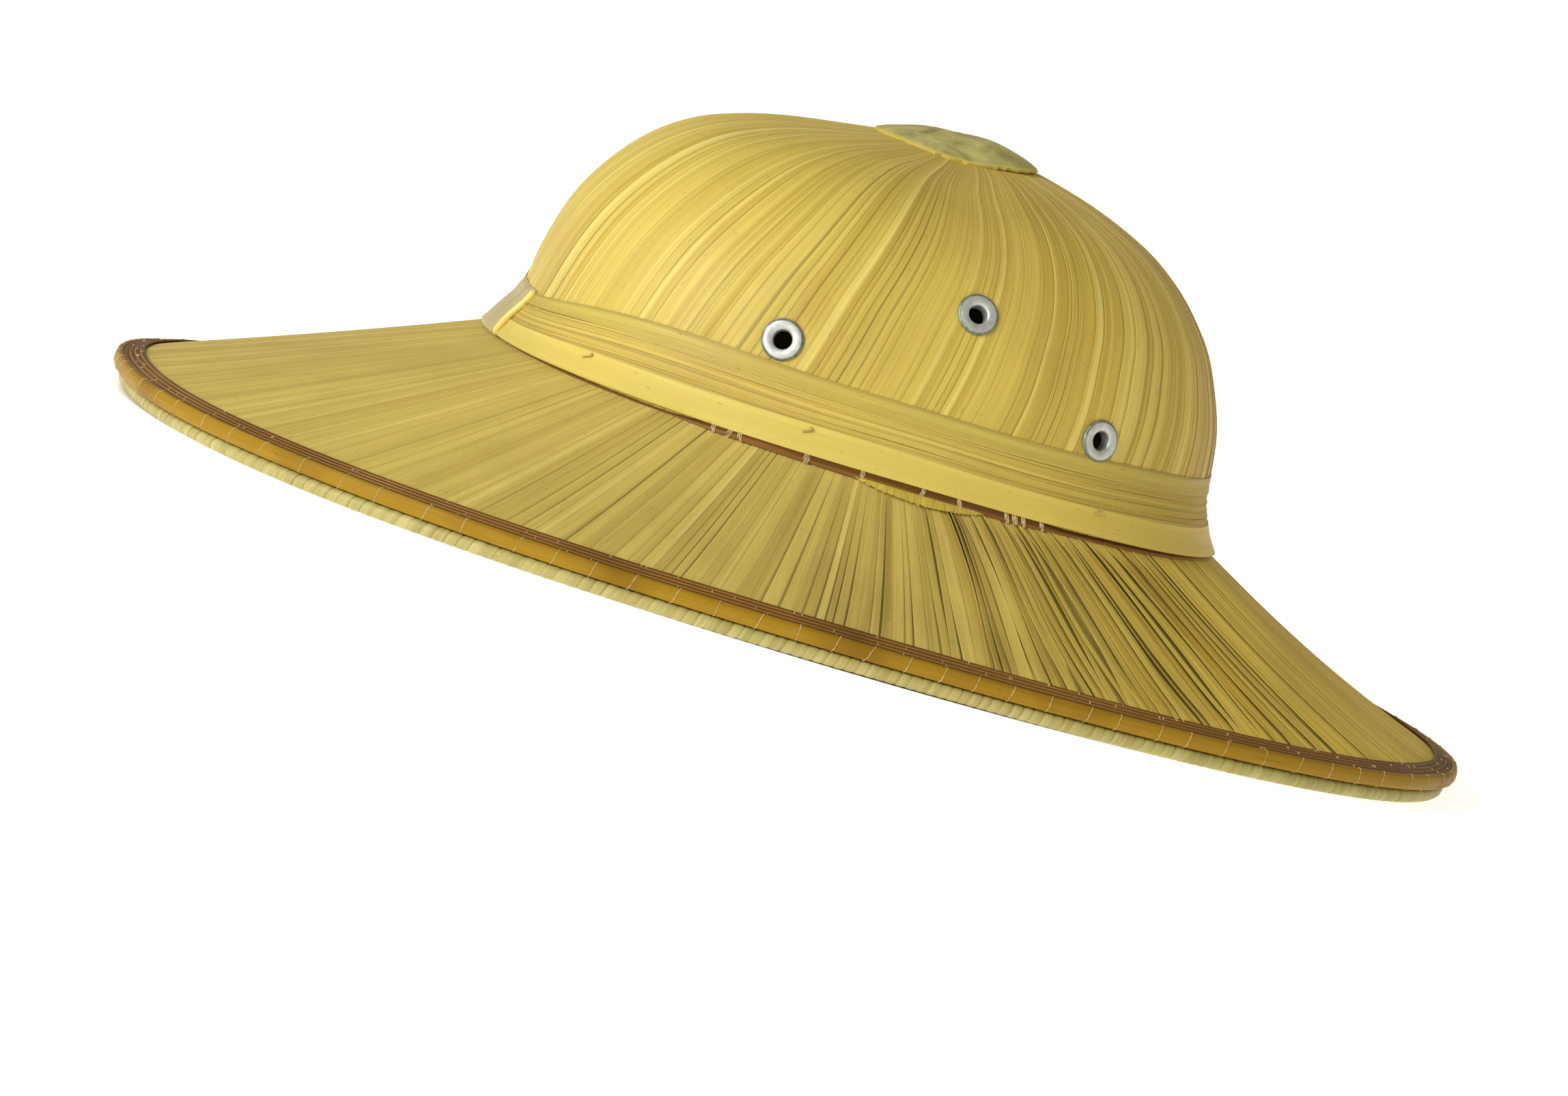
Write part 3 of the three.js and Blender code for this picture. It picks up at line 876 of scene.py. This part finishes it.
def on_welt(number, across, along):
    """One winding of the welt. Its edges are drawn in, and slant from the top to the foot."""
    angle = TAU * along
    turn = TAU * (number + across + 0.22 * np.sin(angle)) / WELT["windings"]
    bulge = 1 - 0.11 * (1 - np.sin(math.pi * np.clip(across, 0, 1)) ** 0.4)
    at_ends = 1 - past(turn, 0.15, 0.6) + past(turn, 2.5, 2.95)
    middle = -WELT["inset"] - WELT["tucked"] * at_ends - WELT["width"] / 2
    out = middle + WELT["width"] / 2 * rounded(np.cos(angle), 0.85) * bulge
    up = WELT["height"] / 2 + WELT["height"] / 2 * rounded(np.sin(angle), 0.85) * bulge
    return on_rim(turn, out, np.maximum(up, 0))


def brim_width(turn):
    return np.linalg.norm(brim_point(turn, 1.0) - brim_point(turn, 0.0), axis=-1)


def on_rim_cane(cane):
    def where(number, across, along):
        angle = TAU * across
        turn = TAU * along
        middle = CANES["first"] + CANES["width"] / 2 + cane * CANES["pitch"]
        inset = middle + CANES["width"] / 2 * np.cos(angle)
        out = CANES["off_brim"] + CANES["height"] / 2 * (1 + np.sin(angle))
        return lay_on(brim_point, turn, 1 - inset / brim_width(turn), out)
    return where


hoop = weld(lay(strips("bamboo_hoop", 1, 16, RIM_ROWS), on_hoop))
finish(hoop, BAMBOO, ["rim_hoop"])
welt = weld(lay(strips("wound_welt", WELT["windings"], 8, 12), on_welt))
finish(welt, WOUND, ["rim_welt"], crease=60)
for cane in range(CANES["count"]):
    piece = weld(lay(strips(f"split_cane_{cane + 1}", 1, 8, RIM_ROWS), on_rim_cane(cane)))
    finish(piece, CANE, [f"rim_cane_{cane + 1}"])

# %% [markdown]
# ## Patch on the peak
# A leaf disc closes the peak. Its edge is torn where it faces the wearer's left, it is creased
# across, and its back half stands a little higher. It is a grid laid out by angle and radius.

# %% Patch
PATCH = {"radius": 22.5, "under": 0.3, "thickness": 0.9, "swell": 1.1}
TEARS = 97
patch_tears = chance.normal(0, 1, TEARS)


def crown_share_at(turn, radius):
    """The share of the crown where its oval is a radius from its middle, near the peak."""
    unit = {"half_length": 1.0, "half_width": SLIMNESS, "squareness": SQUARE_AT_PEAK, "middle": 0.0}
    reach = np.hypot(*oval(unit, turn))
    return np.interp(-radius / reach, -PROFILE[:, 1], PROFILE_AT) / PROFILE_LENGTH


def on_patch(number, across, along):
    turn = TAU * across
    torn = np.interp(across, np.linspace(0, 1, TEARS), patch_tears) * ease(np.sin(turn), 0.1, 0.6)
    radius = PATCH["radius"] * along * (1 + 0.012 * np.sin(5 * turn + 1) + 0.02 * torn * along ** 6)
    crease = np.exp(-((radius * np.cos(turn - 0.7) - 3) / 1.6) ** 2)
    back = ease(-np.cos(turn), -0.3, 0.9)
    dome = 1 - along ** 3
    rounding = 0.35 * (radius / 9) ** 2 * np.exp(1 - (radius / 9) ** 2)
    out = PATCH["under"] + PATCH["thickness"] * (1 - 0.55 * along ** 8) + PATCH["swell"] * 0.6 * dome
    out = out + rounding + 1.1 * back * ease(along, 0.0, 0.5) * (1 - 0.5 * along) + 0.3 * crease * dome
    share = crown_share_at(turn, radius)
    return lay_on(crown_point, turn, share, out + 0.6 * dome + swell_behind(turn, share))


# Mottled leaf, grey-green with pale clouds. Its torn edge is fresh and yellow.
PATCH_LEAF, shader, add, _, tone = clouded_material(
    "mottled patch leaf", {"Scale": 110.0, "Detail": 6.0, "Roughness": 0.6, "Distortion": 0.8},
    [(0.32, "8B8648"), (0.43, "A69F5C"), (0.52, "B5AF6B"), (0.6, "BFB975"), (0.7, "CABF6A")],
    {"Roughness": 0.65}, relief=(0.6, 0.12))
axes = add("SeparateXYZ", {"Vector": (add("UVMap", uv_map="UVMap"), "UV")})
fresh = add("MapRange", {"Value": (axes, "Y"), "From Min": 0.94, "From Max": 0.98, "To Max": 0.7})
edged = add("Mix", {"Factor": (fresh, 0), "A": (tone, "Color"), "B": colour("D2C25C")}, data_type="RGBA")
set_inputs(shader, {"Base Color": (edged, "Result")})
patch = weld(lay(strips("peak_patch", 1, 96, 28), on_patch), 0.03)
thicken(patch, 0.9)
finish(patch, PATCH_LEAF, ["top_patch"])

# %% [markdown]
# ## Eyelets
# A vent eyelet is a tube of thin aluminium whose end is rolled over the leaf. By hand one draws
# the inside ring, then extrudes it ring by ring: up the barrel, over the roll and back under it.

# %% Eyelets
EYELET = {"hole": 2.55, "barrel": 3.15, "flange": 5.65, "crest": 1.05, "seat": 0.3, "depth": 2.7,
          "neck": 1.0, "under": 0.12, "curled": 0.25, "darker_from": 5.2}
ROLL_STEPS = 10
THREE_PLACES = (0.3, 0.5, 0.7)


def eyelet_rings():
    """Radius and height of each ring, from the barrel's inner end over the roll to its outer end."""
    hole, barrel, flange, crest, seat, depth, neck, under, curled, _ = EYELET.values()
    rings = [(hole, -depth), (hole, -neck)]
    for step in range(ROLL_STEPS + 1):
        angle = math.pi * (1 - step / ROLL_STEPS)
        radius = (hole + flange) / 2 + (flange - hole) / 2 * math.cos(angle)
        rings.append((radius, seat + (crest - seat) * math.sin(angle) ** 0.8))
    return rings + [(flange - curled, under), (barrel, under), (barrel, -depth), rings[0]]


def rolled_eyelet(name, seat):
    rings = eyelet_rings()
    radius, height = rings[0]
    bpy.ops.mesh.primitive_circle_add(vertices=40, radius=radius * MM, location=(0, 0, height * MM))
    piece = settle(name)
    bpy.ops.object.mode_set(mode="EDIT")
    bpy.ops.mesh.select_all(action="SELECT")
    for next_radius, next_height in rings[1:]:
        bpy.ops.mesh.extrude_region_move(
            TRANSFORM_OT_translate={"value": (0, 0, (next_height - height) * MM)})
        scale = next_radius / radius
        bpy.ops.transform.resize(value=(scale, scale, 1))
        radius, height = next_radius, next_height
    bpy.ops.object.mode_set(mode="OBJECT")
    weld(piece, 0.01)
    piece.rotation_mode = "QUATERNION"
    piece.rotation_quaternion = seat["facing"]
    piece.location = Vector(seat["spot"] * MM)
    return settle(name)


# Rolled aluminium, dulled by air. Its tone, roughness and relief all wander in fine clouds.
ALUMINIUM, shader, add, cloud, _ = clouded_material(
    "rolled aluminium", {"Scale": 600.0, "Detail": 3.0}, zip(THREE_PLACES, ("B6BBB7", "C4C9C5", "D2D6D3")),
    {"Metallic": 0.75}, relief=(0.5, 0.008))
rough = add("MapRange", {"Value": (cloud, "Fac"), "From Min": 0.3, "From Max": 0.7, "To Min": 0.42,
                         "To Max": 0.52})
set_inputs(shader, {"Roughness": (rough, 0)})

# Where the roll meets the leaf, its outer edge is a dark grey-green.
DARK_ROLL_EDGE, *_ = clouded_material(
    "grey-green edged aluminium", {"Scale": 900.0, "Detail": 3.0},
    zip(THREE_PLACES, ("5E6A5E", "78857A", "949F94")), {"Roughness": 0.5, "Metallic": 0.6})
for seat in seats:
    piece = rolled_eyelet("rolled_" + seat["name"], seat)
    finish(piece, ALUMINIUM, [seat["name"]])
    piece.data.materials.append(DARK_ROLL_EDGE)
    for face in piece.data.polygons:
        from_middle = (face.center - Vector(seat["spot"] * MM)).length
        face.material_index = int(from_middle > EYELET["darker_from"] * MM)

# %% [markdown]
# ## Thread
# Waxed cotton thread lashes and sews the hat together. Each thread follows a path of its own, so
# one function lays a strip round every path as a tube, and draws it in to a point at both ends,
# where the real one goes into the leaf.

# %% Thread
def thread(name, paths, radius_mm, sides=6):
    """Tubes along paths, an array of (tube, step, xyz) in mm, that taper at their ends."""
    count, steps, _ = paths.shape

    def on_thread(number, across, along):
        step = np.clip(np.round(along * (steps - 1)).astype(int), 0, steps - 1)
        middle = paths[number, step]
        ahead = paths[number, np.minimum(step + 1, steps - 1)] - paths[number, np.maximum(step - 1, 0)]
        ahead /= np.linalg.norm(ahead, axis=-1, keepdims=True)
        round_hat = np.stack([-middle[:, 1], middle[:, 0], 0.02 + 0 * middle[:, 0]], axis=-1)
        side = np.cross(ahead, round_hat)
        side /= np.linalg.norm(side, axis=-1, keepdims=True)
        other = np.cross(ahead, side)
        radius = radius_mm * np.where((step == 0) | (step == steps - 1), 0.02, 1.0)[:, None]
        angle = TAU * across[:, None]
        return middle + radius * (np.cos(angle) * side + np.sin(angle) * other)

    return weld(lay(strips(name, count, sides, steps - 1), on_thread), 0.01)


THREAD, *_ = clouded_material(
    "waxed cotton thread", {"Scale": 900.0, "Detail": 2.0},
    zip(THREE_PLACES, ("9C8250", "BFA878", "D8C8A0")), {"Roughness": 0.6})
print("finish made:", THREAD.name)

# %% [markdown]
# ## Corner cane and its lashings
# A brown cane lies in the corner between crown and brim, lashed down with pale thread. It shows
# only beside the ear, where the band rises above it. Elsewhere the band presses it into the
# corner. It is a tube round the hat, and each lashing is a thread wound round it two or three
# times. Their places on one side are mirrored to the other.

# %% Corner cane
CORNER = {"radius": 1.05, "out": 1.25, "up": 1.1}
HALF_WIDTH_AT_CORNER = 91
LASHINGS = [0.959, 1.001, 1.034, 1.221, 1.387, 1.568, 1.692, 1.842, 1.866, 1.895, 1.954]
LASH = {"pitch": 0.42, "rounds": (2.2, 3.4), "lean": 0.3, "off_cane": 0.1, "radius": 0.18}


def in_corner(turn, out, up):
    """Places by how far out from the crown's foot and how far above the brim's inner edge."""
    x, y = oval(crown_oval(crown_share(BRIM_TOP["at_crown"] + up))[1], turn, out)
    slope = (BRIM_TOP["at_crown"] - BRIM_TOP["at_rim"]) / brim_width(turn)
    return np.stack([x, y, BRIM_TOP["at_crown"] + up - slope * out], axis=-1)


def round_corner(turn, angle, extra=0.0):
    """Places round the corner cane. Where the band covers it, it is pressed thinner into the corner."""
    thin = 1 - covered(turn) * (0.7 - 0.3 * past(turn, 1.6, 2.0))
    out = CORNER["out"] * thin + (CORNER["radius"] * thin + extra) * np.cos(angle)
    up = CORNER["up"] * thin + (CORNER["radius"] * thin + extra) * np.sin(angle)
    return in_corner(turn, out, up + slow_wave(turn, 0.12, seed=8))


def on_corner_cane(number, across, along):
    return round_corner(TAU * along, TAU * across)


corner_cane = weld(lay(strips("corner_cane", 1, 10, 300), on_corner_cane))
finish(corner_cane, CANE, ["junction_cane"])

lash_turns = np.array(LASHINGS + [TAU - turn for turn in LASHINGS])
windings = np.linspace(0, 1, 45)
lash_paths = []
for turn in lash_turns:
    rounds = chance.uniform(*LASH["rounds"])
    width = LASH["pitch"] * rounds / HALF_WIDTH_AT_CORNER
    lean = chance.normal(0, LASH["lean"]) / HALF_WIDTH_AT_CORNER
    angle = TAU * rounds * windings
    along_turn = turn + (windings - 0.5) * width + lean * np.sin(angle)
    lash_paths.append(round_corner(along_turn, angle, LASH["off_cane"]))
lashings = thread("corner_lashings", np.array(lash_paths), LASH["radius"])
finish(lashings, THREAD)

# %% [markdown]
# ## Leaf ends
# Beside the ear the cut ends of the crown's leaves stick out from under the cane in a short
# ragged fringe. Each is a small strip of its own length and lean, and they get shorter towards
# both ends of the fringe.

# %% Leaf ends under the cane
FRINGE = {"count": 84, "from": 1.35, "to": 1.79, "length": 4.4, "starts": 1.2, "up": 0.6}
fringe_lengths = chance.uniform(0.86, 1.0, FRINGE["count"]) * FRINGE["length"]
fringe_lean = chance.normal(0, 0.35, FRINGE["count"])


def on_fringe(number, across, along):
    pitch = (FRINGE["to"] - FRINGE["from"]) / FRINGE["count"]
    length = fringe_lengths[number] * np.sin(math.pi * (number + 0.5) / FRINGE["count"]) ** 0.75
    place = number + 2.2 * (across - 0.5) * (1 - 0.15 * along) + fringe_lean[number] * along
    up = FRINGE["up"] + 0.2 * (number % 2) + 0.25 * np.sin(math.pi * along)
    return in_corner(FRINGE["from"] + pitch * place, FRINGE["starts"] + length * along, up)


FRINGE_LEAF = leaf_material("torn yellow leaf", ["C2AC44", "CDB84C", "D8C456"], 3, 1.6)
fringe = thicken(lay(strips("leaf_ends", FRINGE["count"], 3, 5), on_fringe), 0.15)
finish(fringe, FRINGE_LEAF)

# %% [markdown]
# ## Leaf pins
# Three slips of leaf stalk on each side pin the bright strip. A slip is pushed in and bent over
# like a small hook, so it is made like a short thread, only thicker.

# %% Leaf pins
PINS = [(0.528, 49.3), (1.198, 50.3), (2.14, 50.7)]
PIN = {"hook": 1.2, "above": 0.9, "length": 2.1, "proud": 1.25, "bend": 0.45, "radius": 0.24}
RADIUS_AT_BAND = 97
pin_steps = np.linspace(0, 1, 9)
pin_paths = []
for turn, height in PINS + [(TAU - turn, height) for turn, height in PINS]:
    pin_turn = turn + PIN["hook"] / RADIUS_AT_BAND * np.sin(1.6 * math.pi * pin_steps)
    pin_share = crown_share(height + PIN["above"] - PIN["length"] * pin_steps)
    out = PIN["proud"] + PIN["bend"] * np.sin(math.pi * pin_steps)
    pin_paths.append(lay_on(crown_point, pin_turn, pin_share, out))
pins = thread("leaf_pins", np.array(pin_paths), PIN["radius"], 8)
finish(pins, INNER_LEAF)

# %% [markdown]
# ## Wrap at the front
# One pale leaf strip goes round the whole band at the front and closes it. Its near edge is
# folded over into a bright round lip that stands off the folds behind it.

# %% Wrap
WRAP = {"from": -0.25, "to": 0.07, "foot": 42.9, "proud": 2.15, "at_top": 1.15, "fold": 1.05}


def wrap_height(turn, along):
    return WRAP["foot"] + (band_top(turn) + 1.1 - WRAP["foot"]) * along


def wrap_bend(along):
    return 0.008 * along - 0.016 * np.sin(math.pi * along)


def wrap_out(along):
    """How far the wrap stands off the crown: over the bright strip at its foot, less at its top."""
    return WRAP["proud"] + (WRAP["at_top"] - WRAP["proud"]) * ease(along, 0.1, 0.85)


def on_wrap(number, across, along):
    narrow = 1 - 0.2 * along
    turn = WRAP["to"] - (WRAP["to"] - WRAP["from"]) * narrow * (1 - across) + wrap_bend(along)
    gathers = 0.22 * np.sin(31 * across + 2 * along) * (1 - along) ** 2
    tucked = 1.6 * ease(0.06 - across, -0.06, 0.06) + 0.8 * ease(along, 0.93, 1.0)
    tucked = tucked + 0.5 * ease(-along, -0.04, 0)
    spot_height = wrap_height(turn, along)
    return lay_on(crown_point, turn, crown_share(spot_height), wrap_out(along) + gathers - tucked)


WRAP_LEAF = leaf_material("pale wrap leaf", ["9E916A", "AA9D74", "B6AA7E", "C1B58A"], 16, 18,
                          vein_depth_mm=0.03, blotch="9C8A60")
wrap = thicken(lay(strips("front_wrap", 1, 40, 24), on_wrap), 0.4)
finish(wrap, WRAP_LEAF, ["band_wrap"])

FOLD_LEAF = leaf_material("folded wrap edge", ["DCC860", "E6D46E", "EEDC7C"], 16, 4, vein_depth_mm=0.01,
                          blotch_share=0.1)
fold_along = np.linspace(0.01, 0.99, 20)
fold_turn = WRAP["to"] - 0.006 + wrap_bend(fold_along)
fold_share = crown_share(wrap_height(fold_turn, fold_along))
fold_path = lay_on(crown_point, fold_turn, fold_share, wrap_out(fold_along) - 0.1)
wrap_fold = thread("wrap_fold", fold_path[None], WRAP["fold"], 12)
finish(wrap_fold, FOLD_LEAF)

# %% [markdown]
# ## Stitches on the rim
# One thread sews the edge together. It shows as a loop over the hoop about every twelve
# millimetres, and as dots between the canes.

# %% Stitches
STITCH_COUNT = 92
LOOP = {"off_hoop": 0.04, "radius": 0.1}
DOT_RADIUS = 0.14
stitch_turns = TAU * (np.arange(STITCH_COUNT) + chance.uniform(-0.16, 0.16, STITCH_COUNT)) / STITCH_COUNT
loop = np.linspace(0, 1, 14)
loop_paths = []
for turn in stitch_turns:
    lean = chance.normal(0.006, 0.003)
    out, up = hoop_section(np.pi * (0.62 - 1.22 * loop), LOOP["off_hoop"])
    loop_paths.append(on_rim(turn - lean * (loop - 0.5) * 1.5, out, up))
hoop_loops = thread("hoop_stitches", np.array(loop_paths), LOOP["radius"])
finish(hoop_loops, THREAD)

dot_paths = []
arch = np.linspace(0, 1, 7)
for turn in np.repeat(stitch_turns, 2):
    cane = chance.integers(0, CANES["count"])
    inset = CANES["first"] + CANES["width"] * (0.5 + 0.75 * (arch - 0.5)) + cane * CANES["pitch"]
    out = CANES["off_brim"] + CANES["height"] * (0.62 + 0.48 * np.sin(np.pi * arch))
    turn = turn + chance.normal(0, 0.012)
    dot_paths.append(lay_on(brim_point, turn + 0 * arch, 1 - inset / brim_width(turn), out))
cane_dots = thread("cane_stitches", np.array(dot_paths), DOT_RADIUS)
finish(cane_dots, THREAD)

# %% [markdown]
# ## Light and floor
# The photograph's light comes low from the front of the hat, and little comes from above: the
# crown's top is dark and its front wall has a broad sheen. So there is one wide softbox, the
# walls round the set are brighter than its ceiling, and the floor is a lit opal sheet, which
# stays white without a lamp overhead.

# %% Light and floor
WALLS = 0.82
CEILING = 0.32
CEILING_FROM = 0.7
WARM_WALLS = "FFF4DE"
AIM_HEIGHT = 70
FLOOR_RADIUS = 60
FLOOR_DROP = 0.0002
SHEET_GLOW = 0.72
world = bpy.data.worlds.new("studio")
world.use_nodes = True
add = functools.partial(add_node, world.node_tree)
axes = add("SeparateXYZ", {"Vector": (add("TexCoord"), "Generated")})
strength = add("MapRange", {"Value": (axes, "Z"), "From Max": CEILING_FROM, "To Min": WALLS,
                            "To Max": CEILING})
set_inputs(world.node_tree.nodes["Background"], {"Color": colour(WARM_WALLS), "Strength": (strength, 0)})
bpy.context.scene.world = world
bpy.context.scene.view_settings.view_transform = "Standard"


def softbox(name, azimuth, elevation, distance_mm, size_mm, watts):
    """An area light aimed at the crown."""
    _, _, towards = camera_axes(azimuth, elevation, 0)
    middle = Vector((0, 0, AIM_HEIGHT))
    bpy.ops.object.light_add(type="AREA", location=(middle + towards * distance_mm) * MM)
    light = bpy.context.object
    light.name = name
    light.data.size = size_mm * MM
    light.data.energy = watts
    light.rotation_euler = (-towards).to_track_quat("-Z", "Y").to_euler()


softbox("key", azimuth=29, elevation=19, distance_mm=4000, size_mm=1900, watts=124)

bpy.ops.mesh.primitive_circle_add(
    vertices=128, radius=FLOOR_RADIUS, fill_type="NGON", location=(0, 0, -FLOOR_DROP))
floor = settle("floor")
opal, shader, add = blank_material("lit opal sheet")

# The sheet isn't lit under the hat: an oval just inside the rim is masked.
shrink = (1 / (RIM["half_width"] * MM), 1 / (RIM["half_length"] * MM), 0)
oval_at = add("VectorMath", {0: (add("TexCoord"), "Object"), 1: shrink}, operation="MULTIPLY")
reach = add("VectorMath", {0: (oval_at, 0)}, operation="LENGTH")
lit = add("MapRange", {"Value": (reach, "Value"), "From Min": 0.98, "To Max": SHEET_GLOW})
set_inputs(shader, {"Base Color": colour("F2F2F2"), "Roughness": 0.9, "Emission Color": (1, 1, 1, 1),
                    "Emission Strength": (lit, 0)})
floor.data.materials.append(opal)
print("floor radius in m:", FLOOR_RADIUS)
